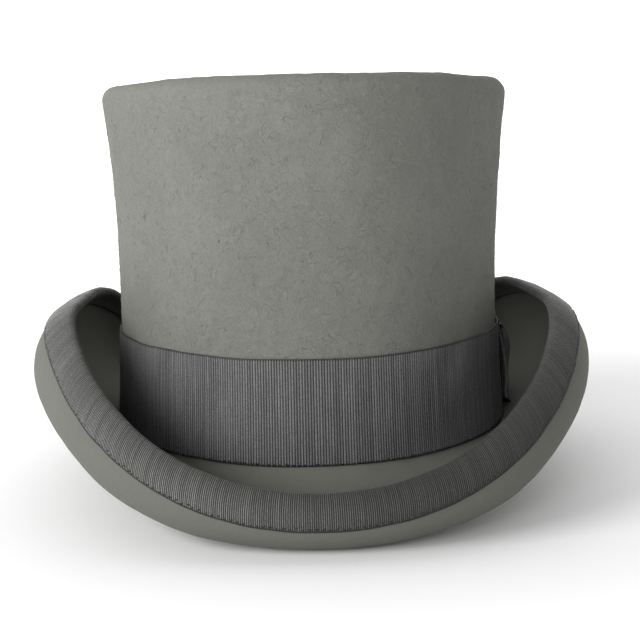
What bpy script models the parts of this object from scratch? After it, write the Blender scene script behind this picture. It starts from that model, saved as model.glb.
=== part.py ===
"""A stiff felt top hat: crown, curled brim, ribbon band with a side bow, bound edge,
leather sweatband and satin lining.

Metres, +Z up. The front of the hat faces -Y and the wearer's left is +X. Angles round the
oval run from 0 at the front through 90 degrees at +X. Heights are measured from the base
line, the height at which the crown meets the brim at the front, and the parent empty lifts
the whole hat until the brim's lowest point is at z = 0.
"""

import math

import bmesh
import bpy
import numpy as np

# Driving dimensions, in metres unless a name says degrees.
GAP = 0.0003
SIDES = 48

CROWN_HEIGHT = 0.1510
CROWN_HALF_WIDTHS = (0.0885, 0.0860, 0.0913)
CROWN_HALF_LENGTHS = (0.1060, 0.1056, 0.1106)
WAIST_AT = 0.45
TIP_EDGE_RADIUS = 0.0055
CROWN_FELT = 0.0024
CROWN_LIFT = 0.0050

BASE_RISE = -0.0015
BRIM_START = (0.0865, 0.1040)
BRIM_FELT = 0.0022
COLLAR_TOP = 0.0125
COLLAR_BOTTOM = 0.0040

# The brim's section turns from a start angle to an end angle over its length, as u ** power.
# Each is given at the front and back, at the diagonals (as an addition) and at the sides.
START_DEGREES = (-47.0, -11.3, 21.5)
END_DEGREES = (165.5, -22.3, 174.5)
SECTION_LENGTH = (0.0715, 0.0107, 0.0829)
TURN_POWER = (2.73, -0.89, 1.80)
SECTION_STEPS = 120

RIBBON = 0.0007
BAND_HEIGHT = 0.0415
BAND_LIFT = (0.0004, 0.0024)
# The rim's rows, as distances back from the rim; the felt ends at the last one.
RIM_ROWS = (0.0130, 0.0108, 0.0084, 0.0060, 0.0037, 0.0016)
BINDING_OUTSIDE = RIM_ROWS[0]
BINDING_NOSE = 0.00175
WIRE_RADIUS = 0.0005
JOINER_HALF_FACET = 0.45
JOINER_WALL = 0.0003

THREAD_RADIUS = 0.00025
BAND_STITCH_UP = 0.0013
BINDING_STITCH_IN = 0.0118
CROWN_SEAM_UP = 0.0080
SWEATBAND_STITCH_UP = 0.0016

SWEATBAND = 0.0010
SWEATBAND_INSET = 0.0064
SWEATBAND_BOTTOM = 0.0014
SWEATBAND_TOP = 0.0450
REED_RADIUS = 0.0011
REED_INSET = 0.0072
REED_DROP = 0.0004
REAR_BOW_HALF_LENGTH = 0.0115
REAR_BOW_HEIGHT = 0.0135

LINING = 0.0005
LINING_INSET = 0.0032
LINING_BOTTOM = 0.0140
LINING_TOP_BELOW_TIP = 0.0088
LINING_TIP_BELOW_TIP = 0.0030
LINING_TIP_INSET = 0.0050
PIPING_RADIUS = 0.0010
PIPING_INSET = 0.0042
PIPING_BELOW_TIP = 0.0070
LABEL_DEGREES = (146.0, 156.0)
LABEL_HEIGHTS = (0.0300, 0.0560)
LABEL_INSET = 0.0046
LABEL_THICKNESS = 0.0003

BOW_DEGREES = (84.0, 100.0, 122.0)
BOW_KNOT_HALF_DEGREES = 3.3
BOW_UNDERLAY_OFFSET = 0.00165
BOW_LOOP_OFFSET = 0.0056
BOW_LOOP_HALF_DEPTH = 0.0029
BOW_LOOP_PINCH = 0.0008
BOW_KNOT_OFFSET = 0.0074
BOW_UNDERLAY_HEIGHTS = (0.0034, 0.0416)
BOW_LOOP_HEIGHTS = (0.0064, 0.0388)
BOW_KNOT_HEIGHTS = (0.0056, 0.0402)


def clear_scene():
    for thing in list(bpy.data.objects):
        bpy.data.objects.remove(thing, do_unlink=True)


def new_collection(name):
    collection = bpy.data.collections.new(name)
    bpy.context.scene.collection.children.link(collection)
    return collection


def material(name, colour, roughness, metallic=0.0):
    made = bpy.data.materials.new(name)
    made.use_nodes = True
    shader = made.node_tree.nodes["Principled BSDF"]
    shader.inputs["Base Color"].default_value = (*colour, 1.0)
    shader.inputs["Roughness"].default_value = roughness
    shader.inputs["Metallic"].default_value = metallic
    return made


def angles(count=SIDES):
    return np.arange(count) * 2.0 * math.pi / count


def through_waist(values, share):
    """The parabola through the base, waist and tip values, at a share of the height."""
    base, waist, tip = values
    at_base = (1.0 - share) * (WAIST_AT - share) / WAIST_AT
    at_waist = share * (1.0 - share) / (WAIST_AT * (1.0 - WAIST_AT))
    at_tip = share * (share - WAIST_AT) / (1.0 - WAIST_AT)
    return base * at_base + waist * at_waist + tip * at_tip


def on_crown(theta, height, offset=0.0):
    """A point at an offset outside the crown's outer face; a negative offset is inside it."""
    share = height / CROWN_HEIGHT
    half_width = through_waist(CROWN_HALF_WIDTHS, share) + offset
    half_length = through_waist(CROWN_HALF_LENGTHS, share) + offset
    return (half_width * math.sin(theta), -half_length * math.cos(theta), height)


def base_line(theta):
    return BASE_RISE * math.sin(theta) ** 2


def band_bottom(theta):
    return base_line(theta) + BAND_LIFT[0] + BAND_LIFT[1] * math.sin(theta) ** 2


def round_the_brim(values, theta):
    """A brim value given at the front, as an addition at the diagonals, and at the side."""
    front, diagonal, side = values
    share = math.sin(theta) ** 2
    return front * (1.0 - share) + side * share + diagonal * math.sin(2.0 * theta) ** 2


class BrimSection:
    """The brim's middle line at one angle, as an arc length, a reach, a rise and a slope."""

    def __init__(self, theta):
        half_width, half_length = BRIM_START
        self.start = np.array([half_width * math.sin(theta), -half_length * math.cos(theta)])
        outward = np.array([half_length * math.sin(theta), -half_width * math.cos(theta)])
        self.outward = outward / np.linalg.norm(outward)
        self.length = round_the_brim(SECTION_LENGTH, theta)
        first = math.radians(round_the_brim(START_DEGREES, theta))
        last = math.radians(round_the_brim(END_DEGREES, theta))
        share = np.linspace(0.0, 1.0, SECTION_STEPS + 1)
        self.arc = share * self.length
        self.slope = first + (last - first) * share ** round_the_brim(TURN_POWER, theta)
        self.reach = self.summed(np.cos(self.slope))
        self.rise = self.summed(np.sin(self.slope)) + base_line(theta)

    def summed(self, rate):
        steps = 0.5 * (rate[1:] + rate[:-1]) * self.length / SECTION_STEPS
        return np.concatenate([[0.0], np.cumsum(steps)])

    def point(self, arc, above=0.0, ahead=0.0):
        """A point at an arc length, moved along the section's normal and its tangent."""
        slope = np.interp(arc, self.arc, self.slope)
        reach = np.interp(arc, self.arc, self.reach)
        rise = np.interp(arc, self.arc, self.rise)
        reach += ahead * math.cos(slope) - above * math.sin(slope)
        rise += ahead * math.sin(slope) + above * math.cos(slope)
        return (*(self.start + self.outward * reach), rise)


def sheet(name, rows, thickness, look, around=True, looped=False, capped=False):
    """A closed solid from a grid of rows of points: its middle surface with Solidify.

    around joins each row's ends, looped joins the last row to the first, and capped fills
    the last row with one face.
    """
    mesh = bmesh.new()
    grid = [[mesh.verts.new(point) for point in row] for row in rows]
    columns = len(grid[0])
    row_pairs = list(zip(grid, grid[1:]))
    if looped:
        row_pairs.append((grid[-1], grid[0]))
    for low, high in row_pairs:
        for i in range(columns if around else columns - 1):
            j = (i + 1) % columns
            mesh.faces.new((low[i], low[j], high[j], high[i]))
    if capped:
        mesh.faces.new(grid[-1])
    bmesh.ops.recalc_face_normals(mesh, faces=mesh.faces)
    piece = place(name, mesh, look)
    solidify = piece.modifiers.new("Thickness", "SOLIDIFY")
    solidify.thickness = thickness
    solidify.offset = 0.0
    solidify.use_even_offset = True
    return piece


def place(name, mesh, look):
    data = bpy.data.meshes.new(name)
    mesh.to_mesh(data)
    mesh.free()
    data.materials.append(look)
    data.shade_smooth()
    data.set_sharp_from_angle(angle=math.radians(40.0))
    piece = bpy.data.objects.new(name, data)
    hat.objects.link(piece)
    piece.parent = stand
    return piece


def round_bar(name, points, radius, look, closed=True, resolution=0, caps=True):
    """A round bar along points, as a curve with a bevel."""
    curve = bpy.data.curves.new(name, "CURVE")
    curve.dimensions = "3D"
    curve.bevel_depth = radius
    curve.bevel_resolution = resolution
    curve.render_resolution_u = 0
    curve.use_fill_caps = caps
    spline = curve.splines.new("POLY")
    spline.points.add(len(points) - 1)
    for spot, point in zip(spline.points, points):
        spot.co = (*point, 1.0)
    spline.use_cyclic_u = closed
    curve.materials.append(look)
    piece = bpy.data.objects.new(name, curve)
    hat.objects.link(piece)
    piece.parent = stand
    return piece


def flat_piece(name, outline, thickness, look):
    """A flat outline in its own XY plane, extruded half its thickness to each side."""
    curve = bpy.data.curves.new(name, "CURVE")
    curve.dimensions = "2D"
    curve.fill_mode = "BOTH"
    curve.extrude = thickness / 2.0
    curve.render_resolution_u = 0
    spline = curve.splines.new("POLY")
    spline.points.add(len(outline) - 1)
    for spot, (x, y) in zip(spline.points, outline):
        spot.co = (x, y, 0.0, 1.0)
    spline.use_cyclic_u = True
    curve.materials.append(look)
    piece = bpy.data.objects.new(name, curve)
    hat.objects.link(piece)
    piece.parent = stand
    return piece


def make_crown(look):
    inset = CROWN_FELT / 2.0
    wall_top = CROWN_HEIGHT - TIP_EDGE_RADIUS
    rows = []
    for share in (0.0, 0.09, 0.19, 0.29, 0.45, 0.62, 0.80, 1.0):
        row = []
        for theta in angles():
            bottom = base_line(theta) + CROWN_LIFT
            row.append(on_crown(theta, bottom + (wall_top - bottom) * share, -inset))
        rows.append(row)
    radius = TIP_EDGE_RADIUS - inset
    for turn in (30.0, 60.0, 90.0):
        inward = TIP_EDGE_RADIUS - radius * math.cos(math.radians(turn))
        up = radius * math.sin(math.radians(turn))
        ring = [on_crown(theta, wall_top, -inward) for theta in angles()]
        rows.append([(x, y, z + up) for x, y, z in ring])
    return sheet("crown_felt", rows, CROWN_FELT, look, capped=True)


def make_brim(look):
    inset = CROWN_FELT + GAP + BRIM_FELT / 2.0
    rows = [
        [on_crown(theta, base_line(theta) + height, -inset) for theta in angles()]
        for height in (COLLAR_TOP, COLLAR_BOTTOM)
    ]
    sections = [BrimSection(theta) for theta in angles()]
    for share in np.linspace(0.0, 1.0, 9):
        rows.append([s.point(share * (s.length - BINDING_OUTSIDE)) for s in sections])
    for back in RIM_ROWS[1:]:
        rows.append([s.point(s.length - back) for s in sections])
    return sheet("brim_felt", rows, BRIM_FELT, look)


def make_binding(look):
    sections = [BrimSection(theta) for theta in angles()]
    rows = []
    for back in RIM_ROWS[1:]:
        rows.append([s.point(s.length - back, BINDING_NOSE) for s in sections])
    for turn in (55.0, 0.0, -55.0):
        above = BINDING_NOSE * math.sin(math.radians(turn))
        ahead = BINDING_NOSE * math.cos(math.radians(turn))
        rows.append([s.point(s.length, above, ahead) for s in sections])
    for back in reversed(RIM_ROWS):
        rows.append([s.point(s.length - back, -BINDING_NOSE) for s in sections])
    return sheet("edge_binding", rows, RIBBON, look)


def make_wire(wire_look):
    rim = [s.point(s.length) for s in map(BrimSection, angles())]
    round_bar("brim_wire", rim, WIRE_RADIUS, wire_look, resolution=1)
    middle = SIDES // 2
    ends = [
        np.array(rim[middle]) * (1.0 - JOINER_HALF_FACET) + np.array(rim[i]) * JOINER_HALF_FACET
        for i in (middle - 1, middle + 1)
    ]
    along = [ends[0], rim[middle], ends[1]]
    radius = WIRE_RADIUS + GAP + JOINER_WALL / 2.0
    joiner = round_bar("wire_joiner", along, radius, wire_look, False, 2, caps=False)
    solidify = joiner.modifiers.new("Wall", "SOLIDIFY")
    solidify.thickness = JOINER_WALL
    solidify.offset = 0.0


def make_band(look):
    offset = GAP + RIBBON / 2.0
    rows = [
        [on_crown(theta, band_bottom(theta) + BAND_HEIGHT * share, offset) for theta in angles()]
        for share in (0.0, 1.0 / 3.0, 2.0 / 3.0, 1.0)
    ]
    sheet("hat_band", rows, RIBBON, look)


def bow_loop(name, wing, knot, look):
    """A ribbon loop that is full at its wing end and pinched at the knot."""
    bottom, top = BOW_LOOP_HEIGHTS
    columns = []
    for turn in angles(16):
        share = 0.5 - 0.5 * math.cos(turn)
        fullness = 0.30 + 0.70 * math.sqrt(share)
        theta = math.radians(knot + (wing - knot) * share)
        offset = BOW_LOOP_OFFSET - BOW_LOOP_PINCH * (1.0 - share)
        offset += BOW_LOOP_HALF_DEPTH * fullness * math.sin(turn)
        columns.append([on_crown(theta, z, offset) for z in (bottom, (bottom + top) / 2.0, top)])
    sheet(name, columns, RIBBON, look, around=False, looped=True)


def make_bow(look):
    front, knot, back = BOW_DEGREES
    low, high = BOW_UNDERLAY_HEIGHTS
    rows = [
        [on_crown(math.radians(t), z, BOW_UNDERLAY_OFFSET) for t in np.linspace(front, back, 9)]
        for z in np.linspace(low, high, 4)
    ]
    sheet("bow_underlay", rows, RIBBON, look, around=False)
    bow_loop("bow_front_loop", front + 1.0, knot - 1.2, look)
    bow_loop("bow_back_loop", back - 1.0, knot + 1.2, look)
    low, high = BOW_KNOT_HEIGHTS
    inner, outer = BOW_UNDERLAY_OFFSET + RIBBON + GAP, BOW_KNOT_OFFSET
    chamfer = 0.0010
    section = [(inner, low), (outer - chamfer, low), (outer, low + chamfer)]
    section += [(outer, (low + high) / 2.0)]
    section += [(offset, low + high - z) for offset, z in reversed(section[:3])]
    spread = np.linspace(knot - BOW_KNOT_HALF_DEGREES, knot + BOW_KNOT_HALF_DEGREES, 4)
    rows = [[on_crown(math.radians(t), z, offset) for t in spread] for offset, z in section]
    sheet("bow_knot", rows, RIBBON, look, around=False)


def make_threads(look):
    outside = GAP + RIBBON + GAP + THREAD_RADIUS
    ring = [on_crown(t, band_bottom(t) + BAND_STITCH_UP, outside) for t in angles()]
    round_bar("band_stitches", ring, THREAD_RADIUS, look)
    sections = [BrimSection(theta) for theta in angles()]
    off_felt = BINDING_NOSE + RIBBON / 2.0 + GAP + THREAD_RADIUS
    outer = [s.point(s.length - BINDING_STITCH_IN, -off_felt) for s in sections]
    round_bar("binding_stitches_outer", outer, THREAD_RADIUS, look)
    back = BINDING_STITCH_IN - RIM_ROWS[0] + RIM_ROWS[1]
    inner = [s.point(s.length - back, off_felt) for s in sections]
    round_bar("binding_stitches_inner", inner, THREAD_RADIUS, look)
    inset = CROWN_FELT + GAP + BRIM_FELT + GAP + THREAD_RADIUS
    seam = [on_crown(t, base_line(t) + CROWN_SEAM_UP, -inset) for t in angles()]
    round_bar("crown_seam_thread", seam, THREAD_RADIUS, look)
    inset = SWEATBAND_INSET + SWEATBAND / 2.0 + GAP + THREAD_RADIUS
    row = [on_crown(t, base_line(t) + SWEATBAND_BOTTOM + SWEATBAND_STITCH_UP, -inset) for t in angles()]
    round_bar("sweatband_stitches", row, THREAD_RADIUS, look)


def make_sweatband(leather, ribbon, plastic):
    rows = [
        [on_crown(t, base_line(t) + height, -SWEATBAND_INSET) for t in angles()]
        for height in np.linspace(SWEATBAND_BOTTOM, SWEATBAND_TOP, 4)
    ]
    sheet("sweatband", rows, SWEATBAND, leather)
    ring = [on_crown(t, base_line(t) - REED_DROP, -REED_INSET) for t in angles()]
    round_bar("sweatband_reed", ring, REED_RADIUS, plastic, resolution=1)
    outline = []
    for turn in angles(28):
        x = REAR_BOW_HALF_LENGTH * math.cos(turn)
        spread = abs(x) / REAR_BOW_HALF_LENGTH
        outline.append((x, (0.0022 + 0.0030 * spread) * math.sin(turn)))
    bow = flat_piece("sweatband_bow", outline, 2.0 * LABEL_THICKNESS, ribbon)
    face = -on_crown(0.0, REAR_BOW_HEIGHT, -SWEATBAND_INSET - SWEATBAND / 2.0)[1]
    hollow = REAR_BOW_HALF_LENGTH**2 * face / (2.0 * CROWN_HALF_WIDTHS[0] ** 2)
    bow.location = (0.0, face - hollow - LABEL_THICKNESS - 2.0 * GAP, REAR_BOW_HEIGHT)
    bow.rotation_euler = (math.radians(90.0), 0.0, 0.0)


def make_lining(satin, label_look):
    top = CROWN_HEIGHT - LINING_TOP_BELOW_TIP
    rows = []
    for share in (0.0, 0.22, 0.48, 0.74, 1.0):
        row = []
        for theta in angles():
            bottom = base_line(theta) + LINING_BOTTOM
            row.append(on_crown(theta, bottom + (top - bottom) * share, -LINING_INSET))
        rows.append(row)
    sheet("lining_side", rows, LINING, satin)
    ring = [on_crown(t, CROWN_HEIGHT - PIPING_BELOW_TIP, -PIPING_INSET) for t in angles()]
    round_bar("lining_piping", ring, PIPING_RADIUS, satin)
    edge = [on_crown(t, CROWN_HEIGHT, -LINING_TIP_INSET)[:2] for t in angles()]
    tip = flat_piece("lining_tip", edge, LINING, satin)
    tip.location.z = CROWN_HEIGHT - LINING_TIP_BELOW_TIP
    first, last = (math.radians(value) for value in LABEL_DEGREES)
    rows = [
        [on_crown(theta, z, -LABEL_INSET) for theta in np.linspace(first, last, 4)]
        for z in LABEL_HEIGHTS
    ]
    sheet("size_label", rows, LABEL_THICKNESS, label_look, around=False)


def lowest_point(piece):
    """The lowest height of a finished piece."""
    finished = piece.evaluated_get(bpy.context.evaluated_depsgraph_get())
    return min((finished.matrix_world @ vertex.co).z for vertex in finished.data.vertices)


clear_scene()
hat = new_collection("top_hat")
stand = bpy.data.objects.new("top_hat", None)
hat.objects.link(stand)

crown_look = material("crown_felt", (0.205, 0.216, 0.188), 0.95)
brim_look = material("brim_felt", (0.125, 0.127, 0.105), 0.92)
band_look = material("band_ribbon", (0.082, 0.087, 0.092), 0.70)
binding_look = material("binding_ribbon", (0.105, 0.108, 0.106), 0.72)
thread_look = material("thread", (0.022, 0.022, 0.024), 0.60)
leather_look = material("sweatband_leather", (0.110, 0.062, 0.034), 0.50)
satin_look = material("lining_satin", (0.020, 0.020, 0.023), 0.32)
wire_look = material("wire", (0.55, 0.55, 0.56), 0.35, 1.0)
reed_look = material("reed", (0.05, 0.05, 0.05), 0.45)
label_look = material("label", (0.75, 0.74, 0.70), 0.80)

make_crown(crown_look)
brim = make_brim(brim_look)
make_band(band_look)
make_bow(band_look)
make_binding(binding_look)
make_wire(wire_look)
make_threads(thread_look)
make_sweatband(leather_look, band_look, reed_look)
make_lining(satin_look, label_look)
stand.location.z = -lowest_point(brim)
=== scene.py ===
"""The looks of a felt top hat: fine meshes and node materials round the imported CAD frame.

Metres, +Z up, front at -Y, wearer's left at +X. Angles round the oval run from 0 at the
front through 90 degrees at +X. Heights are above the base line, where the crown meets the
brim at the front, and LIFT takes them to the frame's own height.
"""
import math

import bpy
import numpy as np
from mathutils import Matrix, Vector


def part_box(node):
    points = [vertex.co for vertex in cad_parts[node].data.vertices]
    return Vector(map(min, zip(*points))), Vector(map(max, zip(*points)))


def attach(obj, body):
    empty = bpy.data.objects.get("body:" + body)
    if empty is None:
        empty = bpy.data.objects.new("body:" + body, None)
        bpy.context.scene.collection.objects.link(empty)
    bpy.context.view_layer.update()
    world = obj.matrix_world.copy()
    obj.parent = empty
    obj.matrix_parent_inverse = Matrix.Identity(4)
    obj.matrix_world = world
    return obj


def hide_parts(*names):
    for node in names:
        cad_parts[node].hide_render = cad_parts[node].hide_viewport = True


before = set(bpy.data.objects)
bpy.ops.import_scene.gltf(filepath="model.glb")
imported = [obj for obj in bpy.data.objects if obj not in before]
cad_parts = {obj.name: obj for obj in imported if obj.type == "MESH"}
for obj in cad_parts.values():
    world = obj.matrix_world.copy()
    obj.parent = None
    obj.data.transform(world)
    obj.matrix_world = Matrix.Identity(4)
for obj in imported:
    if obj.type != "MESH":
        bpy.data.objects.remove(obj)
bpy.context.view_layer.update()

# The hat's own dimensions, as the CAD part has them.
CROWN_HEIGHT = 0.1510
CROWN_HALF_WIDTHS = (0.0885, 0.0860, 0.0913)
CROWN_HALF_LENGTHS = (0.1060, 0.1056, 0.1106)
WAIST_AT = 0.45
TIP_EDGE_RADIUS = 0.0055
CROWN_FELT = 0.0024
CROWN_LIFT = 0.0050
CROWN_SEAM_UP = 0.0080
GAP = 0.0003
BASE_RISE = -0.0015
BRIM_START = (0.0865, 0.1040)
BRIM_FELT = 0.0022
BRIM_EDGE_BACK = 0.0016
START_DEGREES = (-47.0, -11.3, 21.5)
END_DEGREES = (165.5, -22.3, 174.5)
SECTION_LENGTH = (0.0715, 0.0107, 0.0829)
TURN_POWER = (2.73, -0.89, 1.80)
BINDING_OUTSIDE = 0.0130
BINDING_INSIDE = 0.0108
BINDING_NOSE = 0.00175
RIBBON = 0.0007
BOW_FRONT, BOW_KNOT, BOW_BACK = (math.radians(value) for value in (84.0, 100.0, 122.0))
BOW_KNOT_HALF_WIDTH = math.radians(3.3)
SWEATBAND = 0.0010
SWEATBAND_INSET = 0.0064
SWEATBAND_BOTTOM = 0.0014
SWEATBAND_TOP = 0.0450
SWEATBAND_STITCH_UP = 0.0016
REED_RADIUS = 0.0011
REED_INSET = 0.0072
REED_DROP = 0.0004
REAR_BOW_HEIGHT = 0.0135
LINING_INSET = 0.0032
LINING_BOTTOM = 0.0140
LINING_TOP_BELOW_TIP = 0.0088
LINING_TIP_BELOW_TIP = 0.0030
LINING_TIP_INSET = 0.0050
PIPING_RADIUS = 0.0010
PIPING_INSET = 0.0042
PIPING_BELOW_TIP = 0.0070
LABEL_DEGREES = (146.0, 156.0)
LABEL_HEIGHTS = (0.0300, 0.0560)
LABEL_INSET = 0.0046
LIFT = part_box("crown_felt")[1].z - CROWN_HEIGHT

# The cloth's own dimensions. The ribbons differ from their plain CAD solids by under 2 mm.
COLLAR_HEIGHTS = (0.0125, 0.0105, 0.0085, 0.0065, 0.0052, 0.0042)
BAND_TALL = 0.0425
BAND_FRONT_DROP = 0.0010
BAND_SIDE_LIFT = 0.0026
BAND_GIRTH_UP = 0.020
BAND_STITCH_UP = 0.0007
BOW_UNDERLAY_HEIGHTS = (0.0030, 0.0418)
BOW_LOOP_HEIGHTS = (0.0060, 0.0392)
BOW_KNOT_HEIGHTS = (0.0052, 0.0384)
BOW_UNDERLAY_OFFSET = 0.00165
BOW_LOOP_OFFSETS = (0.0048, 0.0056)
BOW_LOOP_PINCH = 0.0008
BOW_KNOT_OFFSETS = (0.0026, 0.0070)
BOW_LOOP_ACROSS = (-1.0, -0.5, 0.0, 0.35, 0.7, 1.0)
BOW_LOOP_FULLNESS = (0.55, 0.68, 0.82, 1.0, 0.80, 0.30)
RIBBON_SKIN = 0.0005
RIB_PITCH = 0.0011
BINDING_RIB_PITCH = 0.00074
RIB_SAMPLES = (0.0, 0.80, 1.0, 0.80)
RIB_DEPTH = 0.00030
THIN_SKIN = 0.0002
FIBRES = 5200
FIBRE_LENGTHS = (0.0010, 0.0034)
FIBRE_RADII = (0.00003, 0.00007)
FIBRES_START_UP = 0.0440
CROWN_MEAN_RADIUS = 0.098

# How fine the meshes are.
FELT_COLUMNS = 480
SECTION_STEPS = 160
STITCH_PATH_POINTS = 1440
PATH_SAMPLES = 2880
BEND_ROWS = (3, 10)
FULL_TURN = 2.0 * math.pi


# ------ geometry of the hat

def through_waist(values, share):
    """The parabola through the base, waist and tip values, at a share of the height."""
    base, waist, tip = values
    at_base = (1.0 - share) * (WAIST_AT - share) / WAIST_AT
    at_waist = share * (1.0 - share) / (WAIST_AT * (1.0 - WAIST_AT))
    at_tip = share * (share - WAIST_AT) / (1.0 - WAIST_AT)
    return base * at_base + waist * at_waist + tip * at_tip


def on_crown(theta, height, offset=0.0):
    """Points at an offset outside the crown's outer face; a negative offset is inside it."""
    theta, height, offset = np.broadcast_arrays(theta, height, offset)
    share = height / CROWN_HEIGHT
    x = (through_waist(CROWN_HALF_WIDTHS, share) + offset) * np.sin(theta)
    y = -(through_waist(CROWN_HALF_LENGTHS, share) + offset) * np.cos(theta)
    return np.stack([x, y, height + LIFT], axis=-1)


def side_share(theta):
    """0 at the front and the back, 1 at the sides."""
    return np.sin(theta) ** 2


def base_line(theta):
    """The height of the line where the crown meets the brim."""
    return BASE_RISE * side_share(theta)


def round_the_brim(values, theta):
    """A brim value given at the front, as an addition at the diagonals, and at the side."""
    front, diagonal, side = values
    share = side_share(theta)
    return front * (1.0 - share) + side * share + diagonal * np.sin(2.0 * theta) ** 2


class Brim:
    """The brim's middle surface at many angles, read by arc length from the base."""

    def __init__(self, theta):
        half_width, half_length = BRIM_START
        self.start = np.stack([half_width * np.sin(theta), -half_length * np.cos(theta)], -1)
        outward = np.stack([half_length * np.sin(theta), -half_width * np.cos(theta)], -1)
        self.outward = outward / np.linalg.norm(outward, axis=-1, keepdims=True)
        self.length = round_the_brim(SECTION_LENGTH, theta)
        first = np.radians(round_the_brim(START_DEGREES, theta))
        last = np.radians(round_the_brim(END_DEGREES, theta))
        power = round_the_brim(TURN_POWER, theta)
        share = np.linspace(0.0, 1.0, SECTION_STEPS + 1)
        turned = share[None, :] ** power[:, None]
        self.slope = first[:, None] + (last - first)[:, None] * turned
        self.reach = self.summed(np.cos(self.slope))
        self.rise = self.summed(np.sin(self.slope)) + base_line(theta)[:, None]

    def summed(self, rate):
        """The running sum of a rate along each section."""
        steps = 0.5 * (rate[:, 1:] + rate[:, :-1]) * self.length[:, None] / SECTION_STEPS
        return np.concatenate([np.zeros((len(steps), 1)), np.cumsum(steps, axis=1)], axis=1)

    def read(self, table, arc):
        """A table's value at an arc length, one row for each angle."""
        place = np.clip(arc / self.length, 0.0, 1.0) * SECTION_STEPS
        low = np.minimum(place.astype(int), SECTION_STEPS - 1)
        rows = np.arange(len(table))
        share = place - low
        return table[rows, low] * (1.0 - share) + table[rows, low + 1] * share

    def point(self, arc, above=0.0, ahead=0.0):
        """Points at an arc length, moved along the section's normal and its tangent."""
        arc = np.broadcast_to(arc, self.length.shape)
        slope = self.read(self.slope, arc)
        reach = self.read(self.reach, arc) + ahead * np.cos(slope) - above * np.sin(slope)
        rise = self.read(self.rise, arc) + ahead * np.sin(slope) + above * np.cos(slope)
        across = self.start + self.outward * reach[:, None]
        return np.concatenate([across, (rise + LIFT)[:, None]], axis=1)


def turns(count):
    """Angles that part a full turn evenly."""
    return np.arange(count) * FULL_TURN / count


def even_turns(path_of, count):
    """Angles that are evenly spaced along a closed path, and the path's length."""
    fine = np.linspace(0.0, FULL_TURN, PATH_SAMPLES + 1)
    points = path_of(fine)
    steps = np.linalg.norm(np.diff(points, axis=0), axis=1)
    along = np.concatenate([[0.0], np.cumsum(steps)])
    return np.interp(np.arange(count) * along[-1] / count, along, fine), along[-1]


def ripple(points, wavelength, size, seed):
    """Smooth seeded unevenness at points: a sum of waves in random directions."""
    random = np.random.default_rng(seed)
    waves = 20
    direction = random.normal(size=(waves, 3))
    direction /= np.linalg.norm(direction, axis=1, keepdims=True)
    number = FULL_TURN / wavelength * random.uniform(0.7, 1.4, waves)
    phase = random.uniform(0.0, FULL_TURN, waves)
    flat = points.reshape(-1, 3)
    total = np.zeros(len(flat))
    for way, k, start in zip(direction, number, phase):
        total += np.cos(flat @ way * k + start)
    return (size * total / math.sqrt(waves / 2.0)).reshape(points.shape[:-1])


def normals_of(points, around=True, looped=False):
    """Unit normals of a grid of points, from its neighbours' differences."""
    if around:
        across = np.roll(points, -1, axis=1) - np.roll(points, 1, axis=1)
    else:
        across = np.gradient(points, axis=1)
    if looped:
        up = np.roll(points, -1, axis=0) - np.roll(points, 1, axis=0)
    else:
        up = np.gradient(points, axis=0)
    normal = np.cross(across, up)
    return normal / np.maximum(np.linalg.norm(normal, axis=-1, keepdims=True), 1e-12)


# ------ meshes

def placed(name, data):
    """A new object of this data, in the scene."""
    made = bpy.data.objects.new(name, data)
    bpy.context.scene.collection.objects.link(made)
    return made


def finished_object(name, mesh, look):
    mesh.materials.append(look)
    mesh.shade_smooth()
    return placed(name, mesh)


def grid_piece(name, points, look, around=True, looped=False, cap=False, ribs=None, thickness=0.0):
    """An object from rows of points, with a UV map in metres and a rib height per vertex.

    around closes each row, looped joins the last row to the first, cap fills the last row
    with one face, and thickness makes a closed skin of the surface.
    """
    rows, columns = points.shape[:2]
    flat = points.reshape(-1, 3)
    row_ids = np.arange(rows if looped else rows - 1)
    column_ids = np.arange(columns if around else columns - 1)
    low, left = np.meshgrid(row_ids, column_ids, indexing="ij")
    high, right = (low + 1) % rows, (left + 1) % columns
    quads = np.stack([low * columns + left, low * columns + right,
                      high * columns + right, high * columns + left], -1).reshape(-1, 4)
    faces = quads.tolist()
    if cap:
        faces.append([(rows - 1) * columns + i for i in range(columns)])
    mesh = bpy.data.meshes.new(name)
    mesh.from_pydata(flat.tolist(), [], faces)
    lengths = np.linalg.norm(np.diff(points, axis=1, append=points[:, :1]), axis=2).mean(0)
    heights = np.linalg.norm(np.diff(points, axis=0, append=points[:1]), axis=2).mean(1)
    u = np.concatenate([[0.0], np.cumsum(lengths)])
    v = np.concatenate([[0.0], np.cumsum(heights)])
    corners = np.stack([np.stack([u[left + along], v[low + up]], -1)
                        for along, up in ((0, 0), (1, 0), (1, 1), (0, 1))], axis=2).reshape(-1, 2)
    layer = mesh.uv_layers.new(name="cloth")
    flat_uv = np.zeros((len(mesh.loops), 2))
    flat_uv[:len(corners)] = corners
    layer.data.foreach_set("uv", flat_uv.ravel())
    if ribs is not None:
        rib = mesh.attributes.new("rib", "FLOAT", "POINT")
        rib.data.foreach_set("value", np.broadcast_to(ribs, (rows, columns)).ravel())
    piece = finished_object(name, mesh, look)
    if thickness:
        solidify = piece.modifiers.new("Thickness", "SOLIDIFY")
        solidify.thickness = thickness
        solidify.offset = 0.0
        solidify.use_even_offset = False
    return piece


def rings_round(centre, out, side, radius, sides):
    """Rings of points round the centre lines of many tubes."""
    spokes = turns(sides)[:, None]
    return centre[:, :, None, :] + radius[..., None, None] * (
        out[:, :, None, :] * np.cos(spokes) + side[:, :, None, :] * np.sin(spokes))


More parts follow.
